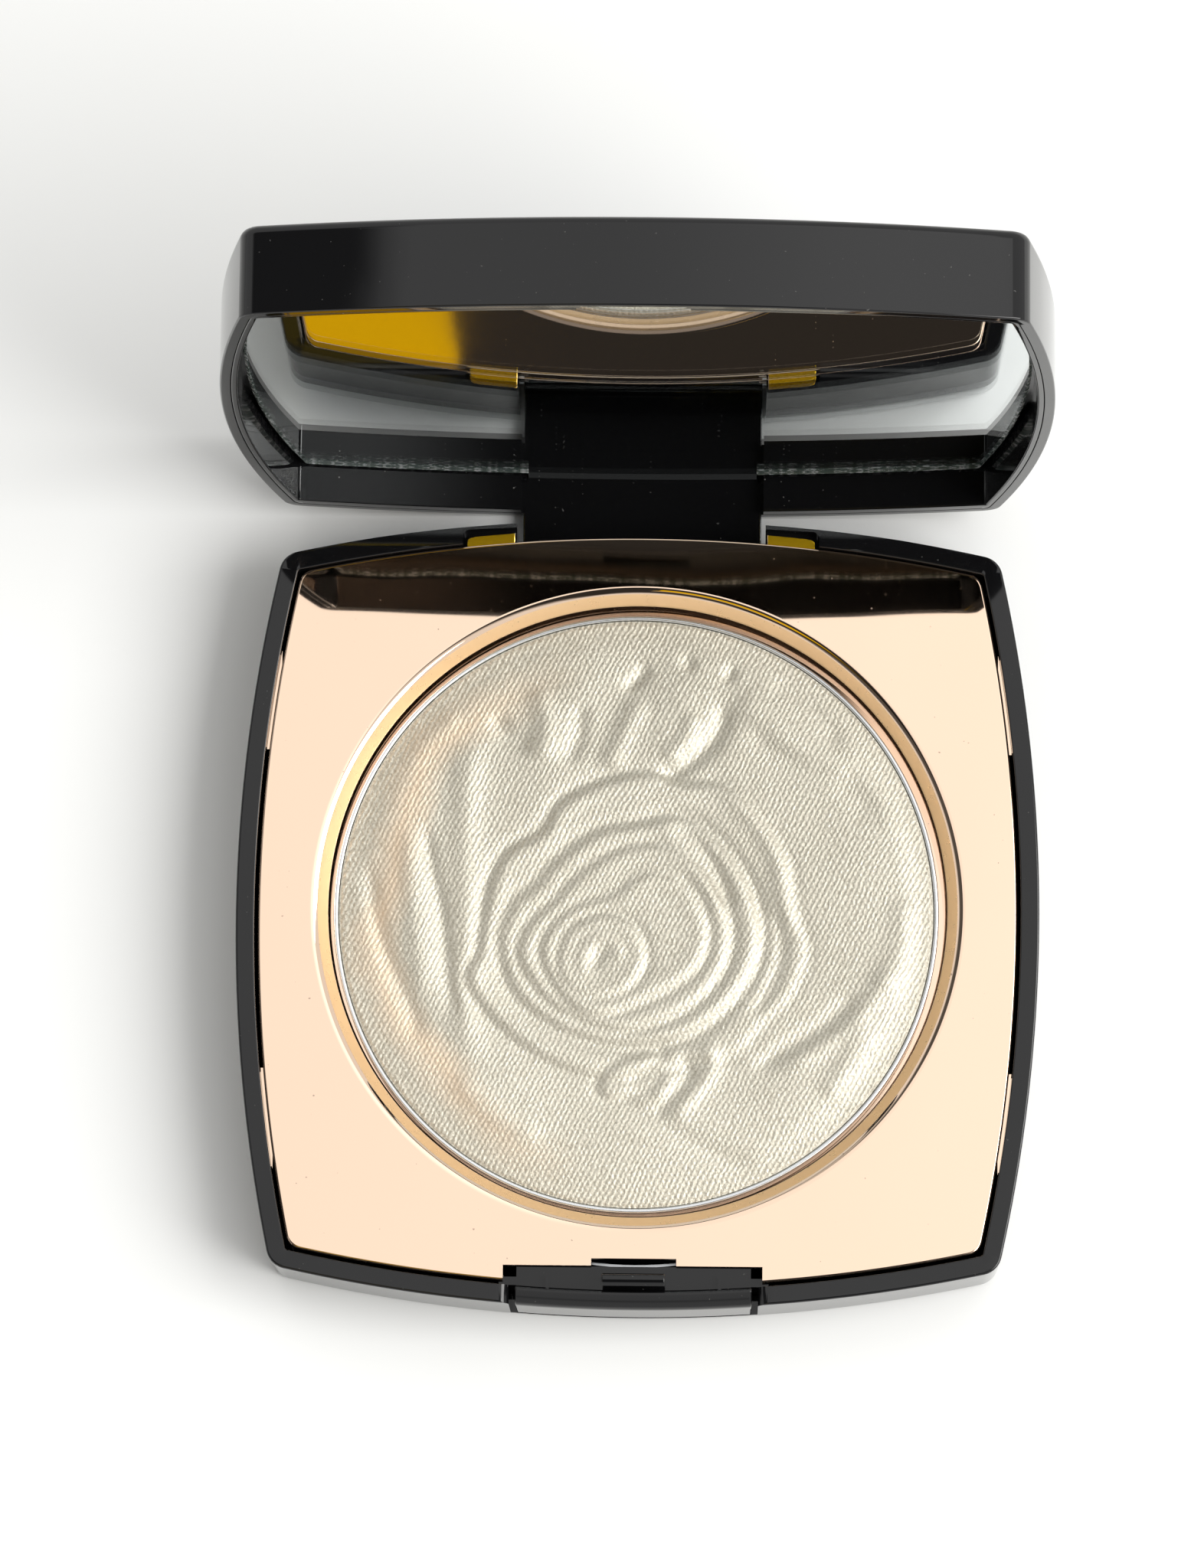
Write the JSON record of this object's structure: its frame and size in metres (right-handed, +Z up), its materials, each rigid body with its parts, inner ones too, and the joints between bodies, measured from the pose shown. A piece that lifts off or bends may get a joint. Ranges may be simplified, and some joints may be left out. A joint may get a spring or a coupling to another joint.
{
  "type": "powder compact",
  "caption": "Bowed-square cosmetic compact with a hinged mirror lid, push-button latch, polished inner plate and a round pan of pressed powder.",
  "frame": {"origin": "centre of the base's underside, on the surface the compact lies on", "axes": "+Z up, away from the surface; +Y towards the hinge and the open lid; +X to the right as seen from the latch side"},
  "size_m": [0.078, 0.0904, 0.0782],
  "materials": {
    "case_black": "piano-black moulded plastic, high gloss",
    "rose_gold": "vacuum-metallised rose gold on plastic, mirror bright",
    "pan_metal": "plain drawn pan",
    "powder": "pressed pearl powder with a raised flower and a fine twill",
    "steel": "plain wire and strip",
    "mirror": "silvered glass with a ground edge",
    "white_tape": "double-sided foam tape"
  },
  "bodies": {
    "base": {"base_shell": "case_black", "inner_plate": "rose_gold", "pan_adhesive": "white_tape", "powder_pan": "pan_metal", "powder_cake": "powder", "hinge_pin": "steel", "latch_spring": "steel"},
    "lid": {"lid_shell": "case_black", "lid_inner_frame": "case_black", "mirror_glass": "mirror", "mirror_tape_left": "white_tape", "mirror_tape_right": "white_tape"},
    "latch": {"latch_button": "case_black"}
  },
  "joints": [
    {"name": "lid_hinge", "type": "hinge", "parent": "base", "child": "lid", "pos_m": [0, 0.03528, 0.00418], "axis": [-1, 0, 0], "range_deg": [-91.58, 0]},
    {"name": "latch_press", "type": "slide", "parent": "base", "child": "latch", "axis": [0, 1, 0], "range_m": [0, 0.0009], "stiffness_N_per_m": 1500, "springref_m": -0.0005, "deforming": ["latch_spring"]}
  ]
}
